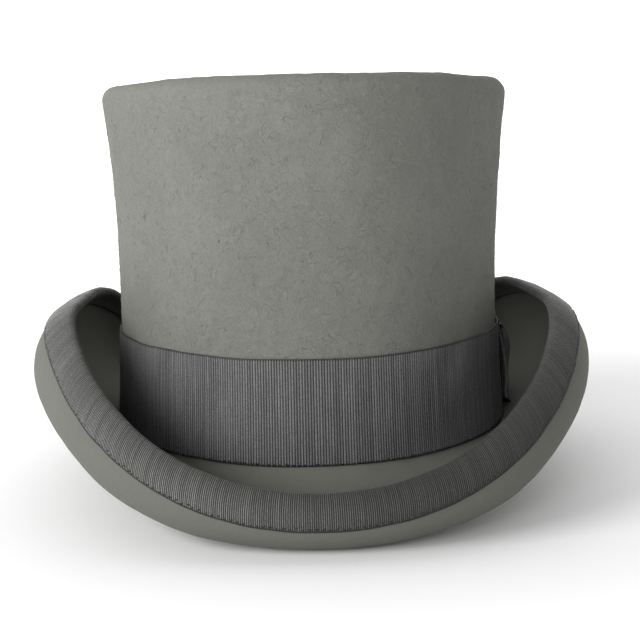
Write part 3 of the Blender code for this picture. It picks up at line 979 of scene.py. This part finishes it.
def make_lining(look):
    """The gathered side and the puckered tip, which share their folds."""
    theta = turns(FELT_COLUMNS)
    bottom = base_line(theta) + LINING_BOTTOM
    top = CROWN_HEIGHT - LINING_TOP_BELOW_TIP
    share = np.linspace(0.0, 1.0, 60)
    side = np.array([on_crown(theta, bottom + (top - bottom) * s, -LINING_INSET) for s in share])
    random = np.random.default_rng(81)
    folds = np.zeros(FELT_COLUMNS)
    for count in (23, 37, 52, 71):
        folds += random.uniform(0.5, 1.0) * np.cos(count * theta + random.uniform(0.0, FULL_TURN))
    folds = np.clip(folds / 2.2, -1.0, 1.0) * 0.5 + 0.5
    depth = 0.0016 * (0.25 + 0.75 * share[:, None] ** 1.5) * folds[None, :]
    loose = np.abs(ripple(side, 0.030, 0.0005, 82)) * np.sin(np.pi * share)[:, None]
    side = side - normals_of(side) * (depth + loose)[..., None]
    piece = grid_piece("lining_side_satin", side, look, thickness=THIN_SKIN)
    settle(piece, "lining_satin", "lining_side")
    rings = []
    flat = on_crown(theta, CROWN_HEIGHT - LINING_TIP_BELOW_TIP, -LINING_TIP_INSET)
    for s in np.linspace(0.0, 0.985, 44):
        ring = flat.copy()
        ring[:, :2] *= 1.0 - s
        pucker = 0.0007 * math.exp(-s / 0.10) * (folds - 0.5)
        sag = 0.0016 * min(1.0, s / 0.25)
        ring[:, 2] += pucker - sag
        rings.append(ring)
    rings = np.array(rings)
    rings[..., 2] += ripple(rings, 0.060, 0.00035, 83)
    # Each ring runs backwards, so that the tip's faces look down into the hat.
    piece = grid_piece("lining_tip_satin", rings[:, ::-1], look, cap=True, thickness=THIN_SKIN)
    settle(piece, "lining_satin", "lining_tip")


def make_rear_bow(look):
    """The small flat bow that hides the sweatband's back seam."""
    centre_z = LIFT + REAR_BOW_HEIGHT
    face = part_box("sweatband_bow")[0].y
    parts = []

    def strip(x, y, z, seed):
        """One ribbed strip from rows of points, cut to a whole number of ribs."""
        points = np.stack(np.broadcast_arrays(x, y, z), -1)
        ribs = len(points) // len(RIB_SAMPLES)
        height = rib_columns(ribs, seed)
        points = points[:len(height)]
        normal = normals_of(points, around=False)
        rib = np.broadcast_to(height[:, None], points.shape[:2])
        points = points + normal * (0.00010 * rib)[..., None]
        parts.append(grid_piece(f"rear_bow_{seed}", points, look, around=False, ribs=rib,
                                thickness=0.0003))

    across = np.linspace(-1.0, 1.0, 7)[None, :]
    for way, seed in ((-1.0, 91), (1.0, 92)):
        turn = np.linspace(0.0, FULL_TURN, 96)[:, None]
        share = 0.5 - 0.5 * np.cos(turn)
        x = way * (0.0008 + 0.0104 * share)
        y = face - 0.0008 - 0.0010 * np.sin(turn) * np.sqrt(share)
        z = centre_z + (0.0020 + 0.0022 * share) * across
        strip(x, y, z, seed)
    turn = np.linspace(-0.5 * math.pi, 0.5 * math.pi, 32)[:, None]
    x = 0.0018 * across * (1.0 - 0.1 * np.cos(turn))
    y = face + 0.0002 - 0.0024 * np.cos(turn)
    z = centre_z + 0.0030 * np.sin(turn)
    strip(x, y, z, 93)
    piece = settle(joined("sweatband_bow_ribbon", parts), "band_ribbon", "sweatband_bow")


def make_label(look):
    """The blank label, whose top centimetre curls inward."""
    theta = np.radians(np.linspace(*LABEL_DEGREES, 24))[None, :]
    height = np.linspace(*LABEL_HEIGHTS, 28)[:, None]
    curl = 0.0006 * np.clip((height - 0.046) / 0.010, 0.0, 1.0) ** 2
    rows = on_crown(theta, height, -LABEL_INSET - curl)
    piece = grid_piece("size_label_tag", rows, look, around=False, thickness=THIN_SKIN)
    settle(piece, "label", "size_label")


# ------ camera, light and floor

CAMERA_DISTANCE = 0.600
CAMERA_HEIGHT = 0.1223
CAMERA_SIDE = -0.0074
PITCH, PAN, ROLL, YAW = (math.radians(value) for value in (7.55, 1.22, 1.29, 1.24))
LENS = 72.6
FLOOR_GAP = 0.0005


def make_camera():
    """The camera in front of the hat, its aim turned by PAN, PITCH and ROLL, then its whole
    place turned round the hat by YAW."""
    turned = Matrix.Rotation(-PAN, 4, "Z") @ Matrix.Rotation(math.pi / 2.0 - PITCH, 4, "X")
    turned = turned @ Matrix.Rotation(-ROLL, 4, "Z")
    turned.translation = Vector((CAMERA_SIDE, -CAMERA_DISTANCE, CAMERA_HEIGHT + LIFT))
    data = bpy.data.cameras.new("camera")
    data.lens = LENS
    data.sensor_width = 36.0
    data.clip_start = 0.05
    camera = placed("camera", data)
    camera.matrix_world = Matrix.Rotation(-YAW, 4, "Z") @ turned
    bpy.context.scene.camera = camera


def area_light(name, place, size, power):
    """A square light that is aimed at the middle of the hat."""
    data = bpy.data.lights.new(name, "AREA")
    data.size = size
    data.energy = power
    light = placed(name, data)
    light.location = place
    aim = Vector((0.0, 0.0, 0.09)) - Vector(place)
    light.rotation_euler = aim.to_track_quat("-Z", "Y").to_euler()


def make_world():
    """An even studio surround that is brighter behind the hat, like a lit backdrop."""
    world = bpy.data.worlds.new("studio")
    world.use_nodes = True
    nodes, links = world.node_tree.nodes, world.node_tree.links
    direction = nodes.new("ShaderNodeTexCoord")
    parts = nodes.new("ShaderNodeSeparateXYZ")
    behind = nodes.new("ShaderNodeMapRange")
    for socket, value in (("From Min", 0.0), ("From Max", 0.5), ("To Min", 0.22), ("To Max", 1.80)):
        behind.inputs[socket].default_value = value
    nodes["Background"].inputs["Color"].default_value = (*WHITE, 1.0)
    links.new(direction.outputs["Generated"], parts.inputs["Vector"])
    links.new(parts.outputs["Y"], behind.inputs["Value"])
    links.new(behind.outputs["Result"], nodes["Background"].inputs["Strength"])
    bpy.context.scene.world = world


def make_stage():
    """A pale floor that glows more with distance, so that it fades to white, and the lights."""
    look = Look("pale_floor", Base_Color=(0.94, 0.94, 0.94, 1.0), Emission_Color=(*WHITE, 1.0))
    grain = look.noise(look.place(), 60.0, 2.0)
    rough = look.plus(0.85, look.times(grain, 0.1))
    look.feed(look.shader.inputs["Roughness"], rough)
    glow = look.fade_from((0.0, 0.0, 0.0), (0.15, 0.0), (0.80, 0.42))
    look.feed(look.shader.inputs["Emission Strength"], glow)
    mesh = bpy.data.meshes.new("floor")
    reach = 6.0
    corners = [(-reach, -reach, 0.0), (reach, -reach, 0.0), (reach, reach, 0.0), (-reach, reach, 0.0)]
    mesh.from_pydata(corners, [], [(0, 1, 2, 3)])
    mesh.materials.append(look.material)
    floor = placed("floor", mesh)
    floor.location.z = -FLOOR_GAP
    make_world()
    area_light("key", (-1.55, -1.05, 0.85), 1.2, 35.0)
    area_light("fill", (-0.60, -1.80, 0.60), 0.8, 15.0)
    bpy.context.scene.view_settings.view_transform = "Standard"


# ------ the hat

crown_felt = felt_look("crown_wool_felt", (0.146, 0.149, 0.134), 1.0, 0.05)
brim_felt = felt_look("brim_wool_felt", (0.120, 0.122, 0.107), 0.25, 0.05)
band_ribbon = ribbon_look("band_grosgrain", (0.062, 0.062, 0.063), 0.06)
# The binding has shade painted into it round a spot at its front right.
binding_ribbon = ribbon_look("binding_grosgrain", (0.084, 0.084, 0.080), 0.08, (0.050, -0.135, 0.045))
thread = thread_look()
wool_hair = hair_look()
leather = leather_look()
satin = satin_look()
steel = grained_look("steel_wire", (1.0, 3.0), (0.40, 0.40, 0.41), (0.62, 0.62, 0.63), (0.00002, 0.5),
                     stretch=(300.0, 300.0, 3000.0), Metallic=1.0, Roughness=0.35)
oilcloth = grained_look("reed_oilcloth", (1800.0, 2.0, 0.6), (0.020, 0.018, 0.017),
                        (0.055, 0.050, 0.047), (0.00006, 0.7), Roughness=0.5, Specular_IOR_Level=0.4)
paper = grained_look("label_paper", (900.0, 4.0, 0.7), (0.62, 0.60, 0.55), (0.78, 0.76, 0.71),
                     (0.00004, 0.6), Roughness=0.85)

make_camera()
make_crown(crown_felt)
make_fibres(wool_hair)
make_brim(brim_felt)
make_band(band_ribbon)
make_binding(binding_ribbon)
make_stitches(thread)
make_bow(band_ribbon)
make_sweatband(leather)
make_reed_and_piping(oilcloth, satin)
make_lining(satin)
make_rear_bow(band_ribbon)
make_label(paper)
for node in ("brim_wire", "wire_joiner"):
    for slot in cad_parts[node].material_slots:
        slot.material = steel
make_stage()
